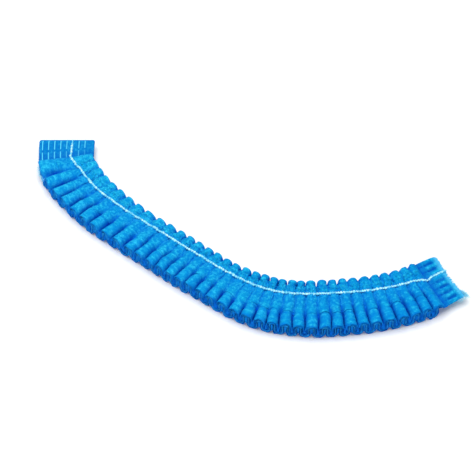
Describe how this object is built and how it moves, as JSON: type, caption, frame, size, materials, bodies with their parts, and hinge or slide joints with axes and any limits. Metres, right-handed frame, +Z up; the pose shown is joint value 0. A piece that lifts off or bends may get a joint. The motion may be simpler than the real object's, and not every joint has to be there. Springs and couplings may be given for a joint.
{
  "type": "disposable hairnet",
  "caption": "Folded non-woven strip cap as packed: a curved strip of gathered barrel pleats with an elastic thread along it and flat welded ends.",
  "frame": {"origin": "middle of the outline in plan, on the surface that the cap lies on", "axes": "+X along the longest side, towards the nearer welded end in front, +Y away from the front edge, +Z up from the surface"},
  "size_m": [0.214, 0.1244, 0.0093],
  "materials": {
    "cap_cloth": "matt fibrous spunbond cloth",
    "elastic_thread": "soft twisted thread"
  },
  "bodies": {
    "root": {"pleated_cap": "cap_cloth", "upper_elastic": "elastic_thread", "lower_elastic": "elastic_thread"}
  },
  "joints": []
}
